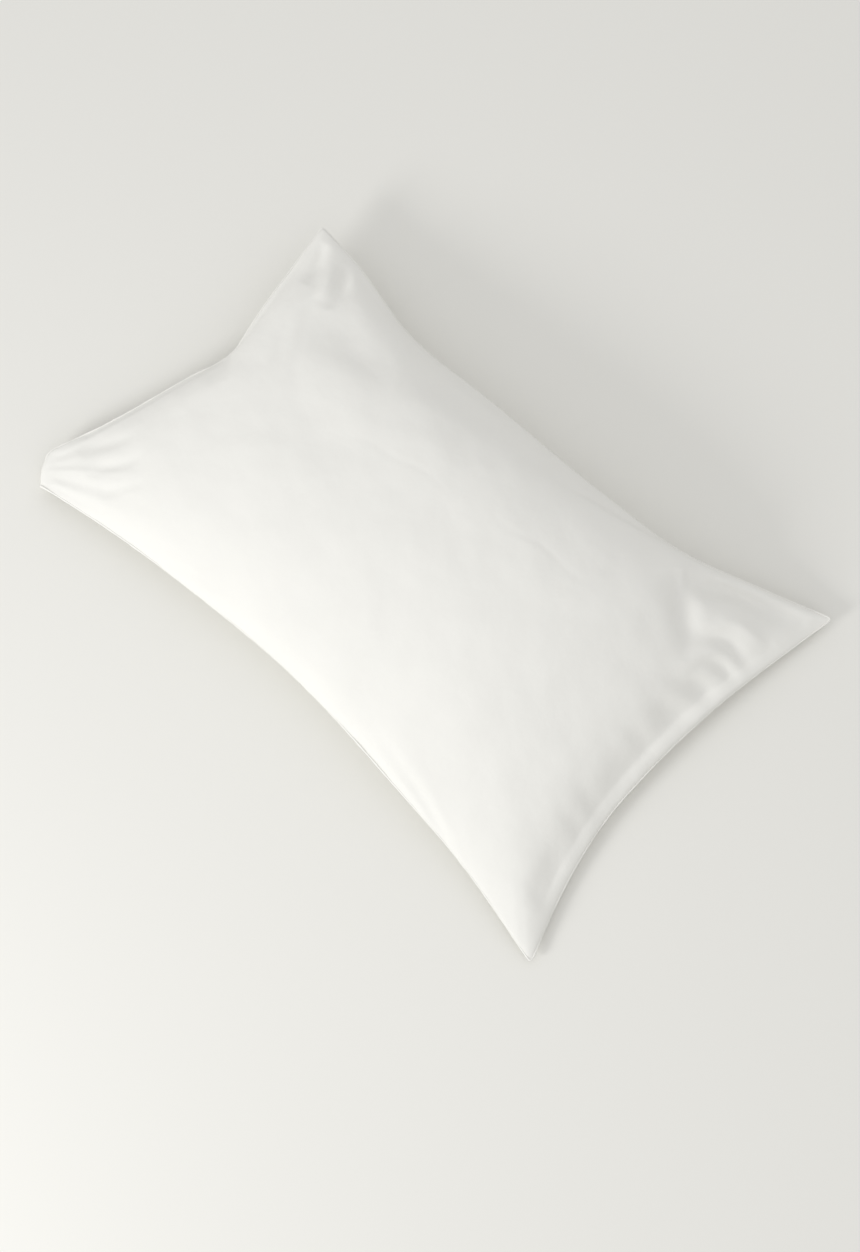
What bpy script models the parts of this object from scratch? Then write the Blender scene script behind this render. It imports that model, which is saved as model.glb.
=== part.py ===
"""A filled pillowcase that lies on its back: one closed solid in metres, +Z up.

Two panels meet at a seam that runs round the edge. The filling lifts the top panel into a crown and
presses the bottom panel flat where the case rests. The four sides draw in between the corner tips, one
corner is turned under, and the main folds are soft troughs and ridges in the top panel.
"""

import math
from typing import NamedTuple

import bmesh
import bpy
from mathutils import Vector

# The case as a whole. It is 750 x 500 mm when it is empty and flat.
CROWN_TOP = 0.051  # how far the top panel rises above the seam, at its fullest
CROWN_BOTTOM = 0.080  # how far the bottom panel would hang below the seam, if nothing held it up
CREST = 0.60  # where the fullest line lies, from 0 at the near side to 1 at the far side
SEAM_THICK = 0.004  # the seam's own thickness: four layers of cloth turned inwards
REST_BLEND = 0.012  # height over which the bottom panel rolls off the surface
TIP_ROUNDING = 0.035  # how much of each side belongs to the rounded tips

# How round the filling is. A higher power is a flatter middle, and a lower edge power a steeper side.
FILLING_POWER = 2.5
TOP_EDGE_POWER = 0.62
BOTTOM_EDGE_POWER = 0.42

# The panels' grid of faces, which is finer towards the seam.
LENGTH_FACES = 50
WIDTH_FACES = 34
EDGE_CROWDING = 0.45  # 0 spaces the rows evenly, 1 packs them against the seam


class Side(NamedTuple):
    """A side of the seam: the tips it runs between and the marks it runs through, in order."""

    start: str
    end: str
    marks: list


class Fold(NamedTuple):
    """A soft trough (negative) or ridge (positive) in the top panel, from one place to another."""

    x1: float
    y1: float
    x2: float
    y2: float
    width: float
    height: float


# Places on the seam. One head tip stands up, and both foot tips lie on the surface.
TIPS = {
    "head_far": (-0.322, 0.208, 0.045),
    "head_near": (-0.393, -0.211, 0.022),
    "foot_near": (0.364, -0.234, 0.008),
    "foot_far": (0.366, 0.248, 0.013),
}
FAR_MARKS = [
    (-0.256, 0.198, 0.047),
    (-0.175, 0.177, 0.050),
    (-0.042, 0.177, 0.052),
    (0.093, 0.179, 0.050),
    (0.207, 0.190, 0.042),
    (0.282, 0.216, 0.028),
]
NEAR_MARKS = [
    (-0.280, -0.193, 0.030),
    (-0.139, -0.181, 0.040),
    (-0.016, -0.178, 0.043),
    (0.149, -0.194, 0.038),
    (0.238, -0.205, 0.026),
]
HEAD_MARKS = [
    (-0.302, 0.068, 0.045),
    (-0.297, 0.042, 0.042),
    (-0.317, -0.018, 0.036),
    (-0.348, -0.110, 0.029),
]
FOOT_MARKS = [
    (0.343, -0.170, 0.010),
    (0.325, -0.070, 0.016),
    (0.325, -0.010, 0.020),
    (0.334, 0.090, 0.022),
    (0.353, 0.190, 0.016),
]
SIDES = {
    "far": Side("head_far", "foot_far", FAR_MARKS),
    "near": Side("head_near", "foot_near", NEAR_MARKS),
    "head": Side("head_far", "head_near", HEAD_MARKS),
    "foot": Side("foot_near", "foot_far", FOOT_MARKS),
}

# The near tip at the head end is turned under, which leaves a blunt and slightly curved edge.
TURN_CENTRE = Vector((-0.3226, -0.1627))
TURN_FACING = Vector((-0.935, -0.354)).normalized()
TURN_START = 0.040  # how far in front of the centre the turned edge begins
TURN_ARC = 0.051  # the radius of the blunt edge, as seen from above
TURN_ROLL = 0.0115  # how far the turned edge stands out in front of where it begins
TURN_NOSE = 0.022  # the filling rounds off over this distance behind the turned edge

FOLDS = {
    "far_head_trough_1": Fold(-0.300, 0.165, -0.285, 0.115, 0.010, -0.005),
    "far_head_trough_2": Fold(-0.268, 0.165, -0.262, 0.105, 0.010, -0.005),
    "far_head_hollow": Fold(-0.270, 0.110, -0.200, 0.090, 0.026, -0.006),
    "far_side_hollow": Fold(-0.230, 0.135, 0.060, 0.140, 0.040, -0.004),
    "near_head_pleat_1": Fold(-0.345, -0.130, -0.275, -0.120, 0.014, -0.004),
    "near_head_pleat_2": Fold(-0.335, -0.160, -0.275, -0.150, 0.012, -0.003),
    "far_foot_hollow": Fold(0.210, 0.165, 0.315, 0.200, 0.024, -0.008),
    "far_foot_crumple_1": Fold(0.262, 0.118, 0.316, 0.110, 0.013, -0.006),
    "far_foot_crumple_2": Fold(0.258, 0.078, 0.312, 0.074, 0.014, -0.006),
    "far_foot_ridge": Fold(0.262, 0.098, 0.314, 0.093, 0.012, 0.004),
    "foot_hollow": Fold(0.250, 0.020, 0.296, 0.030, 0.020, -0.005),
    "near_foot_shade": Fold(0.300, -0.165, 0.286, -0.080, 0.022, -0.004),
}
FOLD_FADE = 0.030  # folds die out where the filling is thinner than this

COTTON_WHITE = (0.888, 0.888, 0.855)
COTTON_ROUGHNESS = 0.90


def clear_scene():
    for old in list(bpy.data.objects):
        bpy.data.objects.remove(old, do_unlink=True)


def cotton_material():
    material = bpy.data.materials.new("white_cotton")
    material.use_nodes = True
    shader = material.node_tree.nodes["Principled BSDF"]
    shader.inputs["Base Color"].default_value = (*COTTON_WHITE, 1.0)
    shader.inputs["Roughness"].default_value = COTTON_ROUGHNESS
    shader.inputs["Metallic"].default_value = 0.0
    return material


def crowd_to_edge(value):
    """Moves a grid row from -1..1 towards the nearer edge, so that faces are finer by the seam."""
    packed = math.sin(value * math.pi / 2)
    return value + (packed - value) * EDGE_CROWDING


def through_marks(points, along):
    """A place on the smooth curve through the points, for a share of the way from 0 to 1."""
    points = [Vector(point) for point in points]
    steps = [(b - a).length for a, b in zip(points, points[1:])]
    reach = along * sum(steps)
    k = 0
    while k < len(steps) - 1 and reach > steps[k]:
        reach -= steps[k]
        k += 1
    t = min(1.0, reach / steps[k])
    start, end = points[k], points[k + 1]
    before = points[k - 1] if k else start * 2 - end
    after = points[k + 2] if k + 2 < len(points) else end * 2 - start
    lead, step, tail = (start - before).length, steps[k], (after - end).length
    start_slope = ((start - before) / lead * step + (end - start) / step * lead) / (lead + step) * step
    end_slope = ((end - start) / step * tail + (after - end) / tail * step) / (step + tail) * step
    eased = start.lerp(end, t * t * (3 - 2 * t))
    return eased + start_slope * t * (1 - t) ** 2 + end_slope * t * t * (t - 1)


def on_side(name, along):
    side = SIDES[name]
    return through_marks([TIPS[side.start], *side.marks, TIPS[side.end]], along)


def round_corner(u, v):
    """Moves a place near a corner of the unit square onto a rounded corner."""
    past_u, past_v = (max(0.0, abs(2 * w - 1) - 1 + TIP_ROUNDING) / TIP_ROUNDING for w in (u, v))
    if not past_u or not past_v:
        return u, v
    u_in = past_u * (1 - math.sqrt(1 - past_v**2 / 2)) * TIP_ROUNDING / 2
    v_in = past_v * (1 - math.sqrt(1 - past_u**2 / 2)) * TIP_ROUNDING / 2
    return u - math.copysign(u_in, u - 0.5), v - math.copysign(v_in, v - 0.5)


def seam_sheet(u, v):
    """The sheet that spans the seam, for u along and v across the case, each from 0 to 1."""
    u, v = round_corner(u, v)
    near = Vector(TIPS["head_near"]).lerp(Vector(TIPS["foot_near"]), u)
    far = Vector(TIPS["head_far"]).lerp(Vector(TIPS["foot_far"]), u)
    across = on_side("near", u).lerp(on_side("far", u), v)
    along = on_side("head", 1 - v).lerp(on_side("foot", v), u)
    return across + along - near.lerp(far, v)


def filling(u, v, edge_power):
    """How full the case is: 0 at the seam and 1 at the fullest place."""
    along = 1 - abs(2 * u - 1) ** FILLING_POWER
    across = 1 - abs(2 * v ** (math.log(0.5) / math.log(CREST)) - 1) ** FILLING_POWER
    return max(0.0, along * across) ** edge_power


def fold_height(fold, place):
    """The fold's height at a place in plan: full along its line, and soft beside and beyond it."""
    start = Vector((fold.x1, fold.y1))
    line = Vector((fold.x2, fold.y2)) - start
    share = min(1.0, max(0.0, (place - start).dot(line) / line.length_squared))
    away = (place - start - line * share).length
    return fold.height * math.exp(-((away / fold.width) ** 2))


def turn_corner(place):
    """Rolls back what lies beyond the blunt edge, and returns the place and how full it is there."""
    away = place.xy - TURN_CENTRE
    across = min(0.035, abs(away.dot(TURN_FACING.orthogonal())))
    past = away.dot(TURN_FACING) - TURN_START + across**2 / (2 * TURN_ARC)
    rolled = past
    if past > 0:
        rolled = TURN_ROLL * past / (past + TURN_ROLL)
    moved = place.xy + TURN_FACING * (rolled - past)
    behind_edge = min(TURN_NOSE, TURN_ROLL - rolled)
    nose = math.sqrt(behind_edge * (2 * TURN_NOSE - behind_edge)) / TURN_NOSE
    return Vector((*moved, place.z)), nose


def rest(height):
    """Presses what would reach below the surface flat on it, with a soft roll where it lifts off."""
    if height <= -REST_BLEND:
        return 0.0
    if height < REST_BLEND:
        return (height + REST_BLEND) ** 2 / (4 * REST_BLEND)
    return height


def top_point(u, v):
    place, nose = turn_corner(seam_sheet(u, v))
    rise = CROWN_TOP * filling(u, v, TOP_EDGE_POWER) * nose
    folds = sum(fold_height(fold, place.xy) for fold in FOLDS.values())
    folds *= min(1.0, rise / FOLD_FADE)
    return place + Vector((0, 0, rise + folds + SEAM_THICK / 2))


def bottom_point(u, v):
    place, nose = turn_corner(seam_sheet(u, v))
    drop = CROWN_BOTTOM * filling(u, v, BOTTOM_EDGE_POWER) * nose
    return Vector((place.x, place.y, rest(place.z - drop - SEAM_THICK / 2)))


def add_panel(bm, point_at):
    """A grid of faces laid over one panel. Returns its outline edges."""
    made = bmesh.ops.create_grid(bm, x_segments=LENGTH_FACES, y_segments=WIDTH_FACES, size=1.0)
    for vert in made["verts"]:
        u = (crowd_to_edge(vert.co.x) + 1) / 2
        v = (crowd_to_edge(vert.co.y) + 1) / 2
        vert.co = point_at(min(1.0, max(0.0, u)), min(1.0, max(0.0, v)))
    edges = {edge for vert in made["verts"] for edge in vert.link_edges}
    return [edge for edge in edges if edge.is_boundary]


def centre_on_surface(bm):
    """Puts the middle of the case's box over the origin, with its lowest face at z = 0."""
    lows = [min(vert.co[axis] for vert in bm.verts) for axis in range(3)]
    highs = [max(vert.co[axis] for vert in bm.verts) for axis in range(3)]
    shift = Vector((-(lows[0] + highs[0]) / 2, -(lows[1] + highs[1]) / 2, -lows[2]))
    bmesh.ops.translate(bm, verts=bm.verts, vec=shift)


def build_pillowcase():
    bm = bmesh.new()
    edges = add_panel(bm, top_point) + add_panel(bm, bottom_point)
    bmesh.ops.bridge_loops(bm, edges=edges)
    bmesh.ops.recalc_face_normals(bm, faces=bm.faces)
    centre_on_surface(bm)
    mesh = bpy.data.meshes.new("pillowcase")
    bm.to_mesh(mesh)
    bm.free()
    mesh.shade_smooth()
    mesh.materials.append(cotton_material())
    case = bpy.data.objects.new("pillowcase", mesh)
    bpy.context.scene.collection.objects.link(case)
    return case


clear_scene()
build_pillowcase()
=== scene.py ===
# %% [markdown]
# # A filled white pillowcase, lying on its back
# Nobody carves the shape of a pillowcase. It comes from two panels of cotton that are sewn together round
# the edge and filled with a pillow. So this notebook makes it in the same order: it loads the CAD frame,
# lays out the seam, cuts two panels, fills them with a cloth simulation, and then adds the creases, the
# sewn edge and the cotton.

import math
from typing import NamedTuple

import bpy
import numpy as np
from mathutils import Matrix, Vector


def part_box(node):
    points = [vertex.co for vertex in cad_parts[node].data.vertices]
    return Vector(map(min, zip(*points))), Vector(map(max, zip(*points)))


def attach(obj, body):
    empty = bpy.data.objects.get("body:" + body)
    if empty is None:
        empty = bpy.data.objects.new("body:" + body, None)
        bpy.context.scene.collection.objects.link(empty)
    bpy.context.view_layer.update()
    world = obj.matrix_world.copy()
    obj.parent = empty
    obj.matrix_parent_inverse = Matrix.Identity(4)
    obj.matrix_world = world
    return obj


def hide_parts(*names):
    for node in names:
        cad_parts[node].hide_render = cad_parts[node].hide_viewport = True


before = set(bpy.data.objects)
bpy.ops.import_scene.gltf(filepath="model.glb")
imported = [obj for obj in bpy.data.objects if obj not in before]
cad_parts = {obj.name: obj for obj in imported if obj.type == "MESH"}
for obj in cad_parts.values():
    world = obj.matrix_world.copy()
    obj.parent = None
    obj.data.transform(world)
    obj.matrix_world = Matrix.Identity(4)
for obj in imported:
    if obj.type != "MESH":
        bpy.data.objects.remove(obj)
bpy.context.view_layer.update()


# %% [markdown]
# ## Helpers for node trees and colours
# Materials and Geometry Nodes are both node trees. One small function adds a node, sets its options and
# fills or links its inputs, so that each tree below reads like a recipe. Colours are written as sRGB hex
# codes, and one function turns them into the linear numbers that shaders use.

# %% Add a node
def add_node(tree, kind, inputs=None, **settings):
    node = tree.nodes.new(kind)
    for name, value in settings.items():
        setattr(node, name, value)
    for socket, value in (inputs or {}).items():
        if isinstance(value, bpy.types.NodeSocket):
            tree.links.new(value, node.inputs[socket])
        else:
            node.inputs[socket].default_value = value
    return node


def linear_colour(hex_code):
    shares = [int(hex_code[i : i + 2], 16) / 255 for i in (0, 2, 4)]
    return (*(s / 12.92 if s <= 0.04045 else ((s + 0.055) / 1.055) ** 2.4 for s in shares), 1.0)


def link_object(name, mesh):
    made = bpy.data.objects.new(name, mesh)
    bpy.context.scene.collection.objects.link(made)
    return made


COTTON_TONES = ("EEEDE8", "F2F1EC")
FLOOR_TONE = "EBEAE5"
print("white cotton is", [round(value, 3) for value in linear_colour(COTTON_TONES[0])])


# %% [markdown]
# ## The seam
# The seam round the case is a loop in space. It has four tips, and each side between two tips runs
# through a few marks. The sides draw in between the tips, because the filling takes up the panels'
# width. One head tip stands up, the other one is folded under, and both foot tips lie near the ground. The
# same tips and marks shaped the CAD solid. Its tips are rounded a little more, so the two seams lie within
# a few millimetres of each other.

# %% Tables of the tips and the marks
TIPS = {
    "head_far": (-0.322, 0.208, 0.045),
    "head_near": (-0.393, -0.211, 0.022),
    "foot_near": (0.364, -0.234, 0.008),
    "foot_far": (0.366, 0.248, 0.013),
}


class Side(NamedTuple):
    start: str
    end: str
    marks: list  # places on the seam, in order


SIDES = {
    "far": Side(
        "head_far",
        "foot_far",
        [
            (-0.256, 0.198, 0.047),
            (-0.175, 0.177, 0.050),
            (-0.042, 0.177, 0.052),
            (0.093, 0.179, 0.050),
            (0.207, 0.190, 0.042),
            (0.282, 0.216, 0.028),
        ],
    ),
    "near": Side(
        "head_near",
        "foot_near",
        [
            (-0.280, -0.193, 0.030),
            (-0.139, -0.181, 0.040),
            (-0.016, -0.178, 0.043),
            (0.149, -0.194, 0.038),
            (0.238, -0.205, 0.026),
        ],
    ),
    "head": Side(
        "head_far",
        "head_near",
        [(-0.302, 0.068, 0.045), (-0.297, 0.042, 0.042), (-0.317, -0.018, 0.036), (-0.348, -0.110, 0.029)],
    ),
    "foot": Side(
        "foot_near",
        "foot_far",
        [
            (0.343, -0.170, 0.010),
            (0.325, -0.070, 0.016),
            (0.325, -0.010, 0.020),
            (0.334, 0.090, 0.022),
            (0.353, 0.190, 0.016),
        ],
    ),
}


# %% [markdown]
# A smooth curve runs through the marks of each side. Between two marks it is a cubic whose slopes come
# from the neighbouring marks. The four curves then span a sheet, in the way that a soap film spans a
# wire, and `seam_sheet` gives its place for any u along the case and v across it. The sheet's corners
# are rounded a little, as a sewn corner is when it is turned right side out.

# %% Places on the seam and on the sheet it spans
TIP_ROUNDING = 0.022  # as a share of the side
CREST = 0.60  # where the fullest line lies, from 0 at the near side to 1 at the far side
LENGTH_POWER = 2.8  # a higher power makes a flatter middle and steeper ends
WIDTH_POWER = 3.0


def through_marks(points, along):
    points = [Vector(point) for point in points]
    steps = [(b - a).length for a, b in zip(points, points[1:])]
    reach = along * sum(steps)
    k = 0
    while k < len(steps) - 1 and reach > steps[k]:
        reach -= steps[k]
        k += 1
    t = min(1.0, reach / steps[k])
    before = points[k - 1] if k else points[0] * 2 - points[1]
    after = points[k + 2] if k + 2 < len(points) else points[-1] * 2 - points[-2]
    start, end = points[k], points[k + 1]
    lead, step, tail = (start - before).length, steps[k], (after - end).length
    start_slope = ((start - before) / lead * step + (end - start) / step * lead) / (lead + step) * step
    end_slope = ((end - start) / step * tail + (after - end) / tail * step) / (step + tail) * step
    rise = t * t * (3 - 2 * t)
    return start.lerp(end, rise) + start_slope * t * (1 - t) ** 2 + end_slope * t * t * (t - 1)


def on_side(name, along):
    side = SIDES[name]
    return through_marks([TIPS[side.start], *side.marks, TIPS[side.end]], along)


def round_corner(u, v):
    """Moves a place near a corner of the unit square onto a rounded corner."""
    past_u, past_v = (max(0.0, abs(2 * w - 1) - 1 + TIP_ROUNDING) / TIP_ROUNDING for w in (u, v))
    if not past_u or not past_v:
        return u, v
    u_in = (past_u - past_u * math.sqrt(1 - past_v**2 / 2)) * TIP_ROUNDING / 2
    v_in = (past_v - past_v * math.sqrt(1 - past_u**2 / 2)) * TIP_ROUNDING / 2
    return u - math.copysign(u_in, u - 0.5), v - math.copysign(v_in, v - 0.5)


def seam_sheet(u, v):
    u, v = round_corner(u, v)
    head_near, head_far, foot_near, foot_far = (
        Vector(TIPS[name]) for name in ("head_near", "head_far", "foot_near", "foot_far")
    )
    across = on_side("near", u).lerp(on_side("far", u), v)
    along = on_side("head", 1 - v).lerp(on_side("foot", v), u)
    return across + along - head_near.lerp(foot_near, u).lerp(head_far.lerp(foot_far, u), v)


def filling(u, v, edge_power):
    """How full the case is: 0 at the seam and 1 along its crest, which lies nearer the far side."""
    along = 1 - abs(2 * u - 1) ** LENGTH_POWER
    across = 1 - abs(2 * v ** (math.log(0.5) / math.log(CREST)) - 1) ** WIDTH_POWER
    return (along * across) ** edge_power


print("the seam sheet's middle is at", tuple(round(value, 3) for value in seam_sheet(0.5, 0.5)))


# %% [markdown]
# ## The corner that is folded under
# The near tip at the head end is rolled over and lies beneath the case, which leaves a blunt, rounded
# end. `roll_under` bends a place round a roll: it follows half a circle and then runs back underneath.
# The two panels are two layers of the roll, one outside the other.

# %% Roll the corner under
ROLL_CENTRE = Vector((-0.3226, -0.1627))
ROLL_FACING = Vector((-0.935, -0.354)).normalized()
ROLL_START = 0.043  # how far in front of the centre the roll begins, at its middle
ROLL_ARC = 0.051  # the radius of the blunt end, as seen from above
ROLL_RADIUS = 0.0085
LAYER_GAP = 0.003  # the most that a panel stands off the middle of the roll


def past_roll_start(place):
    away = place.xy - ROLL_CENTRE
    across = min(0.035, abs(away.dot(ROLL_FACING.orthogonal())))
    return away.dot(ROLL_FACING) - ROLL_START + across**2 / (2 * ROLL_ARC)


def roll_under(place, layer):
    past = past_roll_start(place)
    if past <= 0:
        return place
    start = place.xy - ROLL_FACING * past
    turn = min(math.pi, past / ROLL_RADIUS)
    out = (ROLL_RADIUS + layer) * math.sin(turn) - max(0.0, past - math.pi * ROLL_RADIUS)
    height = place.z - ROLL_RADIUS + (ROLL_RADIUS + layer) * math.cos(turn)
    return Vector((*(start + ROLL_FACING * out), max(0.003, height)))


# %% [markdown]
# ## Cutting the panels
# Each panel is a grid of small squares. The two grids share their outer row of points, and that shared
# row is the seam. A real panel is cut flat. Here each one is cut to the seam's outline as a low dome,
# which is a shortcut: it steers the simulation to the filled form. It is also cut a little too large, by
# the ease. A UV map keeps each point's place in plan in metres, so that the weave has a real scale.

# %% Cut and sew the panels
LENGTH_SQUARES = 130
WIDTH_SQUARES = 86
EASE = (1.003, 1.003)
DOME = 0.045
UNDERSIDE_DOME = 0.050
DOME_EDGE_POWER = 0.85  # below 1, the dome rises faster from the seam
GAP_RISE = 12  # how quickly the two layers of the roll part from the seam
STRAIGHTER = 0.15  # how far the cut edge goes from the seam's curve towards a straight line


def grid_numbers():
    """The point numbers of both panels as grids. The outer row of the bottom one is the top one's."""
    rows, columns = WIDTH_SQUARES + 1, LENGTH_SQUARES + 1
    top = np.arange(rows * columns).reshape(rows, columns)
    bottom = top.copy()
    inner = (rows - 2, columns - 2)
    bottom[1:-1, 1:-1] = rows * columns + np.arange(inner[0] * inner[1]).reshape(inner)
    return top, bottom


def grid_faces(grid, flip):
    corners = [grid[:-1, :-1], grid[:-1, 1:], grid[1:, 1:], grid[1:, :-1]]
    faces = np.stack([corner.ravel() for corner in corners], axis=1)
    return faces[:, ::-1] if flip else faces


def cut_place(u, v, dome):
    sheet = seam_sheet(u, v)
    near = Vector(TIPS["head_near"]).lerp(Vector(TIPS["foot_near"]), u)
    straight = near.lerp(Vector(TIPS["head_far"]).lerp(Vector(TIPS["foot_far"]), u), v)
    place = sheet.lerp(straight, STRAIGHTER)
    height = max(0.001, sheet.z + dome * filling(u, v, DOME_EDGE_POWER))
    return Vector((place.x * EASE[0], place.y * EASE[1], height))


class Panels(NamedTuple):
    cut: np.ndarray  # where each point lies in the cut panels
    held: np.ndarray  # where each held point is pulled to
    is_held: np.ndarray
    firm: np.ndarray  # how hard the filling presses there, from 0 to 1
    faces: np.ndarray
    ring: list  # the seam's points, in order


NOMINAL_WIDTH, NOMINAL_LENGTH = 0.45, 0.75  # turn u and v into rough distances from the seam
SOFT_REACH = 0.05
LONG_SIDE_SOFTNESS, HEAD_SOFTNESS, FOOT_SOFTNESS = 0.8, 0.3, 0.6


def firmness(u, v):
    """The filling is soft near the seam, most of all along the two long sides and at the foot."""
    firm = 1.0
    for away, softness in (
        (NOMINAL_WIDTH * v, LONG_SIDE_SOFTNESS),
        (NOMINAL_WIDTH * (1 - v), LONG_SIDE_SOFTNESS),
        (NOMINAL_LENGTH * u, HEAD_SOFTNESS),
        (NOMINAL_LENGTH * (1 - u), FOOT_SOFTNESS),
    ):
        firm *= 1 - softness * math.exp(-((away / SOFT_REACH) ** 2))
    return firm


def cut_panels():
    top, bottom = grid_numbers()
    count = bottom.max() + 1
    cut, held = np.zeros((count, 3)), np.zeros((count, 3))
    is_held, firm = np.zeros(count, bool), np.zeros(count)
    for j in range(top.shape[0]):
        for i in range(top.shape[1]):
            u, v = i / LENGTH_SQUARES, j / WIDTH_SQUARES
            sheet = seam_sheet(u, v)
            on_seam = top[j, i] == bottom[j, i]
            gap = LAYER_GAP * min(1.0, GAP_RISE * filling(u, v, 1.0))
            for grid, dome, side in ((top, DOME, 1), (bottom, -UNDERSIDE_DOME, -1)):
                k = grid[j, i]
                cut[k] = cut_place(u, v, dome)
                held[k] = roll_under(sheet, side * gap)
                is_held[k] = on_seam or past_roll_start(sheet) > 0
                firm[k] = firmness(u, v)
    faces = np.concatenate([grid_faces(top, False), grid_faces(bottom, True)])
    rows, columns = top.shape
    path = [(0, i) for i in range(columns - 1)] + [(j, columns - 1) for j in range(rows - 1)]
    path += [(rows - 1, i) for i in range(columns - 1, 0, -1)] + [(j, 0) for j in range(rows - 1, 0, -1)]
    return Panels(cut, held, is_held, firm, faces, [int(top[j, i]) for j, i in path])


def sew(panels):
    mesh = bpy.data.meshes.new("panels")
    mesh.from_pydata(panels.cut.tolist(), [], panels.faces.tolist())
    uv = mesh.uv_layers.new(name="cloth")
    uv.uv.foreach_set("vector", panels.cut[panels.faces.ravel(), :2].astype(np.float32).ravel())
    return link_object("panels", mesh)


panels = cut_panels()
sewn = sew(panels)
print("two panels with", len(panels.faces), "squares;", int(panels.is_held.sum()), "points are held")


# %% [markdown]
# ## Filling the case
# A cloth simulation settles the cut domes into the filled shape. Air pressure stands in for the pillow and
# pushes both panels out. The seam is held, and a shape key carries it from where it was cut to its place in
# space. A floor stops the bottom panel, which then lies flat. There is no gravity, and the cloth doesn't
# collide with itself. The result is copied into a plain mesh, so that no simulation stays in the file.

# %% Run the simulation
SETTLE_FRAMES = 36
PULL_FRAMES = 12  # the seam reaches its place by then
PRESSURE = 2
FLOOR_GAP = 0.0035  # the simulation keeps the cloth this far above what it lies on


def set_cloth(sewn):
    cloth = sewn.modifiers.new("cloth", "CLOTH")
    settings = cloth.settings
    settings.quality = 6
    settings.mass = 0.02
    for way, stiffness, damping in (
        ("tension", 15, 1),
        ("compression", 15, 1),
        ("shear", 1, 1),
        ("bending", 0.05, 0.1),
    ):
        setattr(settings, f"{way}_stiffness", stiffness)
        setattr(settings, f"{way}_damping", damping)
    settings.air_damping = 0.5
    settings.use_pressure = True
    settings.uniform_pressure_force = PRESSURE
    settings.vertex_group_pressure = "firm"
    settings.vertex_group_mass = "held"
    settings.effector_weights.gravity = 0
    cloth.collision_settings.distance_min = 0.002
    cloth.collision_settings.use_self_collision = False
    cloth.point_cache.frame_start = 1
    cloth.point_cache.frame_end = SETTLE_FRAMES


def hold_seam(sewn, panels):
    sewn.shape_key_add(name="cut")
    pulled = sewn.shape_key_add(name="pulled")
    places = np.where(panels.is_held[:, None], panels.held, panels.cut)
    pulled.data.foreach_set("co", places.ravel())
    for value, at in ((0, 1), (1, 1 + PULL_FRAMES)):
        pulled.value = value
        pulled.keyframe_insert("value", frame=at)
    sewn.vertex_groups.new(name="held").add(np.flatnonzero(panels.is_held).tolist(), 1.0, "REPLACE")
    firm = sewn.vertex_groups.new(name="firm")
    for number, weight in enumerate(panels.firm.tolist()):
        firm.add([number], weight, "REPLACE")


def add_collider():
    mesh = bpy.data.meshes.new("collider")
    mesh.from_pydata([(-1, -1, 0), (1, -1, 0), (1, 1, 0), (-1, 1, 0)], [], [(0, 1, 2, 3)])
    collider = link_object("collider", mesh)
    collider.location.z = -FLOOR_GAP
    collider.modifiers.new("collision", "COLLISION")
    collider.collision.thickness_outer = 0.002
    return collider


def fill_case(sewn, panels):
    hold_seam(sewn, panels)
    collider = add_collider()
    set_cloth(sewn)
    for step in range(1, SETTLE_FRAMES + 1):
        bpy.context.scene.frame_set(step)
    evaluated = sewn.evaluated_get(bpy.context.evaluated_depsgraph_get())
    mesh = bpy.data.meshes.new_from_object(evaluated)
    for used in (sewn, collider):
        bpy.data.objects.remove(used, do_unlink=True)
    bpy.context.scene.frame_set(1)
    return mesh


filled = fill_case(sewn, panels)
heights = [vert.co.z for vert in filled.vertices]
print("filled case from", round(min(heights), 4), "to", round(max(heights), 4), "m high")


# %% [markdown]
# ## Finer cloth
# The simulation ran on squares of about 6 mm, which is enough for the form and too coarse for a smooth
# edge. One level of subdivision halves the squares. Then the case is moved so that the middle of its box
# stands over the origin, as in the CAD frame, and what would reach below the ground is laid flat on it.

# %% Subdivide, centre and lay flat
def get_places(mesh):
    places = np.empty(len(mesh.vertices) * 3, np.float32)
    mesh.vertices.foreach_get("co", places)
    return places.reshape(-1, 3).astype(float)


def set_places(mesh, places):
    mesh.vertices.foreach_set("co", places.astype(np.float32).ravel())
    mesh.update()


def apply_modifiers(thing, name):
    """Replaces a thing by a plain mesh of what its modifiers make of it."""
    mesh = bpy.data.meshes.new_from_object(thing.evaluated_get(bpy.context.evaluated_depsgraph_get()))
    bpy.data.objects.remove(thing, do_unlink=True)
    mesh.name = name
    return link_object(name, mesh)


def refine(mesh):
    rough = link_object("rough", mesh)
    smooth = rough.modifiers.new("smooth", "SUBSURF")
    smooth.levels = smooth.render_levels = 1
    case = apply_modifiers(rough, "pillowcase_cloth")
    places = get_places(case.data)
    low, high = (np.array(corner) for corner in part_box("pillowcase"))
    shift = (low + high - places.min(axis=0) - places.max(axis=0)) / 2
    places[:, :2] += shift[:2]
    places[:, 2] = np.maximum(places[:, 2], 0)
    set_places(case.data, places)
    return case, shift


case, SHIFT = refine(filled)
triangles = sum(len(face.vertices) - 2 for face in case.data.polygons)
print("the cloth has", triangles, "triangles; moved by", SHIFT.round(4))


# %% [markdown]
# ## Creases
# The filling sets the large shape and makes hardly any creases. All those that show are listed in the table
# below.
# Each crease runs through a few marks in plan. It is a soft trough or ridge that is deepest somewhere
# along its way and dies out at both ends.

# %% Table of the creases
class Crease(NamedTuple):
    marks: list  # places in plan that the crease runs through
    width: float
    height: float  # below zero for a trough
    deepest: float = 0.5  # where along its way it is deepest, from 0 to 1


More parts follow.
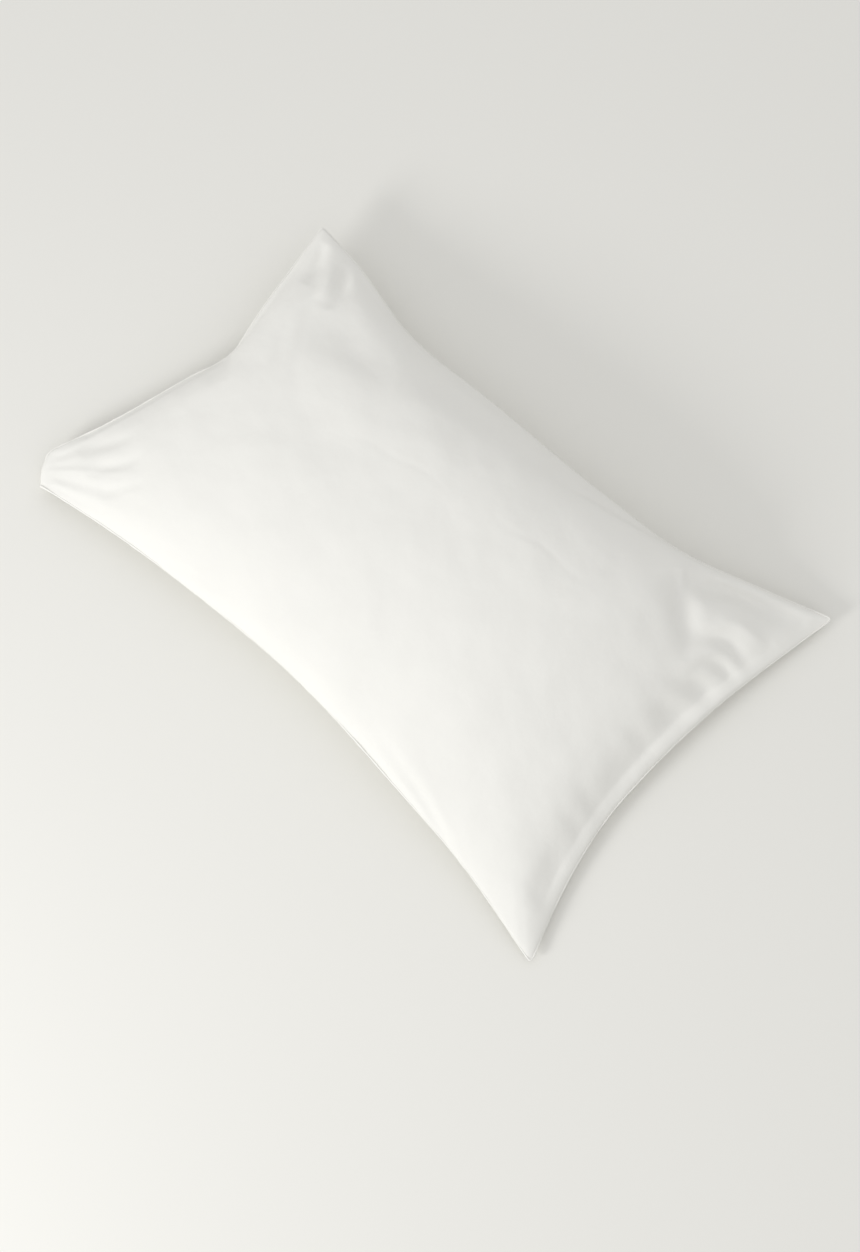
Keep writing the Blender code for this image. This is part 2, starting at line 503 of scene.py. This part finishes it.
CREASES = {
    "far_head_trough_1": Crease([(-0.303, 0.192), (-0.295, 0.168), (-0.284, 0.139)], 0.008, -0.005, 0.45),
    "far_head_ridge": Crease([(-0.278, 0.183), (-0.269, 0.16), (-0.259, 0.137)], 0.0065, 0.0026, 0.5),
    "far_head_trough_2": Crease([(-0.267, 0.19), (-0.255, 0.167), (-0.246, 0.133)], 0.008, -0.0048, 0.45),
    "far_head_hollow": Crease([(-0.268, 0.126), (-0.215, 0.116), (-0.136, 0.13)], 0.027, -0.004, 0.4),
    "far_side_hollow": Crease([(-0.15, 0.142), (-0.018, 0.149), (0.103, 0.15)], 0.018, -0.0022, 0.35),
    "near_head_pleat_1": Crease([(-0.338, -0.154), (-0.328, -0.128), (-0.302, -0.088)], 0.0075, -0.0022, 0.4),
    "near_head_pleat_2": Crease([(-0.317, -0.166), (-0.307, -0.144), (-0.282, -0.11)], 0.007, -0.0021, 0.45),
    "near_head_pleat_3": Crease([(-0.292, -0.169), (-0.28, -0.152), (-0.258, -0.128)], 0.0065, -0.0014, 0.45),
    "far_foot_hollow": Crease(
        [(0.226, 0.158), (0.259, 0.188), (0.304, 0.203), (0.349, 0.222)], 0.015, -0.011, 0.4
    ),
    "far_foot_fold": Crease([(0.212, 0.16), (0.246, 0.136), (0.282, 0.104)], 0.017, -0.0075, 0.45),
    "far_foot_crumple_1": Crease([(0.256, 0.112), (0.29, 0.138), (0.338, 0.15)], 0.009, -0.0046, 0.55),
    "far_foot_ridge": Crease([(0.272, 0.153), (0.303, 0.167), (0.334, 0.178)], 0.008, 0.003, 0.5),
    "far_foot_crumple_2": Crease([(0.286, 0.092), (0.302, 0.114), (0.34, 0.128)], 0.008, -0.004, 0.6),
    "foot_pocket_1": Crease([(0.262, 0.06), (0.296, 0.086), (0.336, 0.092)], 0.012, -0.0044, 0.65),
    "foot_pocket_2": Crease([(0.27, 0.024), (0.296, 0.046), (0.328, 0.06)], 0.013, -0.0034, 0.65),
    "foot_crease_1": Crease([(0.244, -0.014), (0.278, 0.006), (0.322, 0.012)], 0.012, -0.0016, 0.65),
    "foot_roll_off": Crease(
        [(0.346, 0.18), (0.324, 0.09), (0.314, 0.0), (0.32, -0.09), (0.34, -0.18)], 0.026, -0.006, 0.4
    ),
    "near_foot_crease_1": Crease([(0.262, -0.05), (0.288, -0.07), (0.322, -0.078)], 0.01, -0.0014, 0.6),
    "near_foot_crease_2": Crease([(0.27, -0.094), (0.302, -0.098), (0.33, -0.112)], 0.009, -0.0012, 0.6),
    "near_foot_shade": Crease([(0.332, -0.19), (0.32, -0.154), (0.292, -0.116)], 0.015, -0.003, 0.5),
    "face_crease_1": Crease([(-0.15, 0.03), (-0.08, 0.052), (0.0, 0.062)], 0.0035, -0.0003, 0.5),
    "face_crease_2": Crease([(0.03, 0.068), (0.1, 0.08), (0.18, 0.084)], 0.0035, -0.0003, 0.5),
}
CREASE_FADE = 0.012  # creases die out this near the seam
FADE_POWER = 1.5
PATH_PIECES = 12  # straight pieces that stand for a crease's curve
WANDER_LENGTH = 0.075  # the creases wander a little from their marks, this far from bend to bend
WANDER = 0.0022
WANDER_SLANT = 0.4
MOTTLE = 0.0009  # the height of the soft waves that washing leaves in the cloth


# %% [markdown]
# A point's distance from a crease is its distance from the nearest piece of the crease's way. The top
# panel's points move along their own normals, so that a crease is as deep on the steep sides as on top.

# %% Press the creases in
def along_marks(marks, plan):
    """For each place in plan, its distance from the way through the marks and its share along it."""
    points = [(*mark, 0.0) for mark in marks]
    path = np.array([through_marks(points, k / PATH_PIECES)[:2] for k in range(PATH_PIECES + 1)])
    nearest, share = np.full(len(plan), np.inf), np.zeros(len(plan))
    for k, (start, end) in enumerate(zip(path, path[1:])):
        line = end - start
        part = np.clip((plan - start) @ line / (line @ line), 0, 1)
        away = np.hypot(*(plan - start - part[:, None] * line).T)
        closer = away < nearest
        nearest[closer], share[closer] = away[closer], (k + part[closer]) / PATH_PIECES
    return nearest, share


def press_creases(case, ring_places):
    mesh = case.data
    places = get_places(mesh)
    normals = np.empty(len(places) * 3, np.float32)
    mesh.vertices.foreach_get("normal", normals)
    normals = normals.reshape(-1, 3)
    from_seam = np.full(len(places), np.inf)
    for point in ring_places[:, :2]:
        from_seam = np.minimum(from_seam, np.hypot(*(places[:, :2] - point).T))
    heights = np.zeros(len(places))
    plan = places[:, :2] - SHIFT[:2]
    plan = plan + WANDER * np.sin(2 * math.pi * (plan[:, ::-1] + WANDER_SLANT * plan) / WANDER_LENGTH)
    for crease in CREASES.values():
        away, share = along_marks(crease.marks, plan)
        power = math.log(0.5) / math.log(crease.deepest)
        heights += crease.height * np.exp(-((away / crease.width) ** 2)) * np.sin(math.pi * share**power)
    heights *= (normals[:, 2] > 0) * np.clip(from_seam / CREASE_FADE, 0, 1) ** FADE_POWER
    set_places(mesh, places + normals * heights[:, None])


ring_places = get_places(case.data)[panels.ring]
press_creases(case, ring_places)
print(len(CREASES), "creases pressed in")


# %% [markdown]
# ## Soft waves and the sewn edge
# Two small Geometry Nodes trees finish the cloth. The first moves the top panel up and down by less
# than a millimetre, as washed cotton does. The second runs a narrow roll round the seam: the two
# panels were sewn inside out and turned, so their edges lie inside as a thin, firm ridge. Noise makes
# it a little thicker and thinner along its way.

# %% Soft waves
def new_nodes(thing, name):
    group = bpy.data.node_groups.new(name, "GeometryNodeTree")
    for way in ("INPUT", "OUTPUT"):
        group.interface.new_socket("Geometry", in_out=way, socket_type="NodeSocketGeometry")
    thing.modifiers.new(name, "NODES").node_group = group
    return group, add_node(group, "NodeGroupInput").outputs[0]


def add_waves(thing):
    tree, cloth = new_nodes(thing, "soft_waves")
    normal = add_node(tree, "GeometryNodeInputNormal").outputs["Normal"]
    up = add_node(tree, "ShaderNodeSeparateXYZ", {0: normal}).outputs["Z"]
    facing_up = add_node(
        tree, "ShaderNodeMapRange", {"Value": up, "From Min": 0.2, "From Max": 0.7}
    ).outputs["Result"]
    wave = add_node(
        tree, "ShaderNodeTexNoise", {"Scale": 17.0, "Detail": 1.5, "Roughness": 0.4}
    ).outputs["Fac"]
    height = add_node(
        tree,
        "ShaderNodeMapRange",
        {"Value": wave, "From Min": 0.3, "From Max": 0.7, "To Min": -MOTTLE, "To Max": MOTTLE},
    )
    masked = add_node(
        tree, "ShaderNodeMath", {0: height.outputs["Result"], 1: facing_up}, operation="MULTIPLY"
    ).outputs["Value"]
    offset = add_node(tree, "ShaderNodeVectorMath", {0: normal, "Scale": masked}, operation="SCALE")
    moved = add_node(tree, "GeometryNodeSetPosition", {"Geometry": cloth, "Offset": offset.outputs["Vector"]})
    add_node(tree, "NodeGroupOutput", {0: moved.outputs["Geometry"]})


add_waves(case)
case = apply_modifiers(case, "pillowcase_cloth")

# %% The sewn edge
EDGE_WIDTH = 0.0024
EDGE_HEIGHT = 0.0017
EDGE_STEP = 0.0030


def add_edge_roll(ring_places):
    mesh = bpy.data.meshes.new("seam_line")
    count = len(ring_places)
    mesh.from_pydata(ring_places.tolist(), [(k, (k + 1) % count) for k in range(count)], [])
    roll = link_object("seam_line", mesh)
    tree, line = new_nodes(roll, "sewn_edge")
    curve = add_node(tree, "GeometryNodeMeshToCurve", {"Mesh": line}).outputs["Curve"]
    even = add_node(tree, "GeometryNodeResampleCurve", {"Curve": curve, "Length": EDGE_STEP}, mode="LENGTH")
    pinch = add_node(tree, "ShaderNodeTexNoise", {"Scale": 90.0, "Detail": 1.0}).outputs["Fac"]
    size = add_node(
        tree,
        "ShaderNodeMapRange",
        {"Value": pinch, "From Min": 0.3, "From Max": 0.7, "To Min": 0.75, "To Max": 1.15},
    )
    round_edge = add_node(tree, "GeometryNodeCurvePrimitiveCircle", {"Resolution": 8, "Radius": 0.5})
    flat_edge = add_node(
        tree,
        "GeometryNodeTransform",
        {"Geometry": round_edge.outputs["Curve"], "Scale": (EDGE_WIDTH, EDGE_HEIGHT, 1.0)},
    )
    swept = add_node(
        tree,
        "GeometryNodeCurveToMesh",
        {
            "Curve": even.outputs["Curve"],
            "Profile Curve": flat_edge.outputs["Geometry"],
            "Scale": size.outputs["Result"],
        },
    )
    place = add_node(tree, "GeometryNodeInputPosition").outputs["Position"]
    named = add_node(
        tree,
        "GeometryNodeStoreNamedAttribute",
        {"Geometry": swept.outputs["Mesh"], "Name": "cloth", "Value": place},
        data_type="FLOAT2",
        domain="CORNER",
    )
    add_node(tree, "NodeGroupOutput", {0: named.outputs["Geometry"]})
    return apply_modifiers(roll, "sewn_edge")


def join_into(case, extra):
    bpy.ops.object.select_all(action="DESELECT")
    for thing in (extra, case):
        thing.select_set(True)
    bpy.context.view_layer.objects.active = case
    bpy.ops.object.join()
    places = get_places(case.data)
    places[:, 2] = np.maximum(places[:, 2], 0)
    set_places(case.data, places)


ring_places = get_places(case.data)[panels.ring]
join_into(case, add_edge_roll(ring_places))
case.data.shade_smooth()
print("with its edge, the case has", len(case.data.vertices), "points")


# %% [markdown]
# ## White cotton percale
# The case is cotton percale: a plain weave of fine white yarn, washed and ironed. It is matt, with a
# faint glow at grazing angles from loose fibres, which is the sheen. Real threads are about 0.3 mm
# apart, too fine to show here, so the weave is drawn at about three times that.

# %% The cotton
THREAD_MM = 0.9  # a real thread is about 0.3 mm from the next; drawn coarser so that it shows


def cotton_percale():
    material = bpy.data.materials.new("cotton_percale")
    material.use_nodes = True
    tree = material.node_tree
    shader = tree.nodes["Principled BSDF"]
    cloth = add_node(tree, "ShaderNodeUVMap", uv_map="cloth").outputs["UV"]
    wave_scale = 2 * math.pi / 20 / (THREAD_MM / 1000)
    threads = [
        add_node(tree, "ShaderNodeTexWave", {"Vector": cloth, "Scale": wave_scale}, bands_direction=way)
        for way in ("X", "Y")
    ]
    weave = add_node(
        tree,
        "ShaderNodeMath",
        {0: threads[0].outputs["Fac"], 1: threads[1].outputs["Fac"]},
        operation="MAXIMUM",
    )
    crumple = add_node(tree, "ShaderNodeTexNoise", {"Vector": cloth, "Scale": 45.0, "Detail": 3.0})
    fine_bump = add_node(
        tree,
        "ShaderNodeBump",
        {"Strength": 0.25, "Distance": 0.0002, "Height": weave.outputs["Value"]},
    )
    soft_bump = add_node(
        tree,
        "ShaderNodeBump",
        {
            "Strength": 0.35,
            "Distance": 0.002,
            "Height": crumple.outputs["Fac"],
            "Normal": fine_bump.outputs["Normal"],
        },
    )
    tint = add_node(tree, "ShaderNodeTexNoise", {"Vector": cloth, "Scale": 12.0, "Detail": 2.0})
    colour = add_node(
        tree,
        "ShaderNodeMix",
        {"Factor": tint.outputs["Fac"], 6: linear_colour(COTTON_TONES[0]), 7: linear_colour(COTTON_TONES[1])},
        data_type="RGBA",
    )
    rough = add_node(
        tree, "ShaderNodeMapRange", {"Value": tint.outputs["Fac"], "To Min": 0.82, "To Max": 0.92}
    )
    tree.links.new(colour.outputs[2], shader.inputs["Base Color"])
    tree.links.new(rough.outputs["Result"], shader.inputs["Roughness"])
    tree.links.new(soft_bump.outputs["Normal"], shader.inputs["Normal"])
    shader.inputs["Sheen Weight"].default_value = 0.1
    shader.inputs["Sheen Roughness"].default_value = 0.5
    shader.inputs["Specular IOR Level"].default_value = 0.3
    return material


cotton = cotton_percale()
case.data.materials.clear()
case.data.materials.append(cotton)
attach(case, "root")
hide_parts("pillowcase")
print("cotton has", len(cotton.node_tree.nodes), "nodes")


# %% [markdown]
# ## Studio: floor, light and camera
# The set is a pale matt floor under a bright soft sky, with one large soft lamp low on the near side.
# The camera looks down from almost overhead.

# %% Floor, light and camera
LOOK_AT = Vector((0.057, -0.045, 0.0))
CAMERA_TURN = math.radians(41.7)
CAMERA_RISE = math.radians(78)
CAMERA_DISTANCE = 2.0
CAMERA_LENS = 54.6

LAMP_FROM = Vector((-0.19, -0.98, 0.0)).normalized()
LAMP_RISE = math.radians(25)
LAMP_DISTANCE = 2.4
LAMP_SIZE = 0.7
LAMP_WATTS = 22.5
SKY_LOW = 0.435  # how bright the sky is at the horizon
SKY_RISE = 0.50  # how much brighter it is straight overhead


def aim(thing, place, target):
    thing.location = place
    thing.rotation_euler = (Vector(target) - Vector(place)).to_track_quat("-Z", "Y").to_euler()


def add_floor():
    mesh = bpy.data.meshes.new("floor")
    mesh.from_pydata([(-4, -4, 0), (4, -4, 0), (4, 4, 0), (-4, 4, 0)], [], [(0, 1, 2, 3)])
    floor = link_object("floor", mesh)
    material = bpy.data.materials.new("matt_backdrop")
    material.use_nodes = True
    shader = material.node_tree.nodes["Principled BSDF"]
    shader.inputs["Base Color"].default_value = linear_colour(FLOOR_TONE)
    shader.inputs["Roughness"].default_value = 0.95
    shader.inputs["Specular IOR Level"].default_value = 0.1
    mesh.materials.append(material)


def add_lamp():
    data = bpy.data.lights.new("soft_key", "AREA")
    data.shape = "DISK"
    data.size = LAMP_SIZE
    data.energy = LAMP_WATTS
    lamp = link_object("soft_key", data)
    place = LAMP_FROM * LAMP_DISTANCE * math.cos(LAMP_RISE)
    place.z = LAMP_DISTANCE * math.sin(LAMP_RISE)
    aim(lamp, place, (0, 0, 0))


def add_sky():
    world = bpy.data.worlds.new("sky_fill")
    world.use_nodes = True
    tree = world.node_tree
    background = tree.nodes["Background"]
    background.inputs["Color"].default_value = (1, 1, 1, 1)
    direction = add_node(tree, "ShaderNodeTexCoord").outputs["Generated"]
    up = add_node(tree, "ShaderNodeSeparateXYZ", {0: direction}).outputs["Z"]
    above = add_node(tree, "ShaderNodeMath", {0: up, 1: 0.0}, operation="MAXIMUM").outputs["Value"]
    strength = add_node(tree, "ShaderNodeMath", {0: above, 1: SKY_RISE, 2: SKY_LOW}, operation="MULTIPLY_ADD")
    tree.links.new(strength.outputs["Value"], background.inputs["Strength"])
    bpy.context.scene.world = world


def add_camera():
    data = bpy.data.cameras.new("camera")
    data.lens = CAMERA_LENS
    camera = link_object("camera", data)
    level = math.cos(CAMERA_RISE)
    away = Vector((math.sin(CAMERA_TURN) * level, -math.cos(CAMERA_TURN) * level, math.sin(CAMERA_RISE)))
    aim(camera, LOOK_AT + away * CAMERA_DISTANCE, LOOK_AT)
    bpy.context.scene.camera = camera


add_floor()
add_lamp()
add_sky()
add_camera()
bpy.context.scene.view_settings.view_transform = "Standard"
